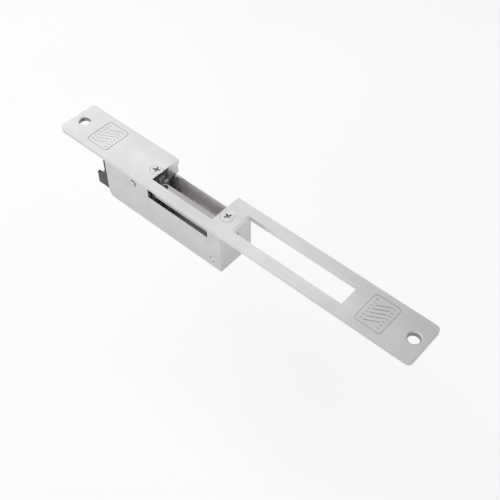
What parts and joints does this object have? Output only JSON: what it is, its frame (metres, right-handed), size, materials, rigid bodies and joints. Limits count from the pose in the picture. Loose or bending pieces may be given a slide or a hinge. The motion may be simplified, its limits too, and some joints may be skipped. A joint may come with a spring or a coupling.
{
  "type": "electric door strike",
  "caption": "Electric door strike: long flat forend with latch recess and deadbolt cut-out over a slim cast case holding a swinging keeper, locking lever, armature and solenoid.",
  "frame": {"origin": "centre of the two fixing holes, on the forend's rear face, which bears on the door frame", "axes": "+X along the forend from the latch end to the deadbolt end, +Y towards the open side of the latch recess, +Z out of the forend's visible face"},
  "size_m": [0.232, 0.025, 0.0306],
  "materials": {
    "plate_steel": "satin zinc-plated or stainless sheet, pale grey",
    "cast_zinc": "matt die-cast zinc alloy",
    "zinc_sheet": "satin zinc-plated sheet steel, neutral grey",
    "keeper_steel": "satin machined steel",
    "pin_steel": "ground steel",
    "screw_steel": "zinc-plated",
    "black_screw": "black oxide",
    "spring_steel": "drawn spring wire",
    "lever_steel": "blanked steel with burnished faces",
    "brass": "plain",
    "copper_wire": "enamelled copper wire",
    "bobbin_plastic": "moulded nylon, off-white",
    "black_plastic": "moulded, dark grey to black",
    "lead_insulation": "PVC sleeve"
  },
  "bodies": {
    "housing": {"faceplate": "plate_steel", "case": "cast_zinc", "back_cover": "zinc_sheet", "cover_rivets": "pin_steel", "body_screws": "screw_steel", "guide_plate": "zinc_sheet", "guide_screw": "black_screw", "keeper_pin": "pin_steel", "keeper_lock_pin": "pin_steel", "keeper_stop_pin": "pin_steel", "keeper_spring": "spring_steel", "lever_pin": "pin_steel", "lever_spring": "spring_steel", "armature_pin": "pin_steel", "armature_spring": "spring_steel", "yoke": "zinc_sheet", "coil_core": "lever_steel", "bobbin": "bobbin_plastic", "winding": "copper_wire", "terminal_carrier": "black_plastic", "terminal_plates": "brass", "terminal_washers": "screw_steel", "terminal_screws": "screw_steel", "coil_leads": "lead_insulation"},
    "keeper_body": {"keeper": "keeper_steel"},
    "lever_body": {"locking_lever": "lever_steel"},
    "armature_body": {"armature": "lever_steel", "armature_stud": "brass"}
  },
  "joints": [
    {"name": "keeper_swing", "type": "hinge", "parent": "housing", "child": "keeper_body", "pos_m": [-0.0265, 0.008, -0.0202], "axis": [-1, 0, 0], "range_deg": [0, 40], "deforming": ["keeper_spring"]},
    {"name": "lever_turn", "type": "hinge", "parent": "housing", "child": "lever_body", "pos_m": [-0.0523, 0.004, -0.0095], "axis": [0, 1, 0], "range_deg": [0, 16], "deforming": ["lever_spring"]},
    {"name": "armature_tilt", "type": "hinge", "parent": "housing", "child": "armature_body", "pos_m": [-0.0579, 0, -0.0226], "axis": [0, -1, 0], "range_deg": [0, 6], "deforming": ["armature_spring"]}
  ],
  "couplings": [
    {"joint": "lever_turn", "follows": "keeper_swing", "ratio": 0.4},
    {"joint": "armature_tilt", "follows": "keeper_swing", "ratio": 0.15}
  ]
}
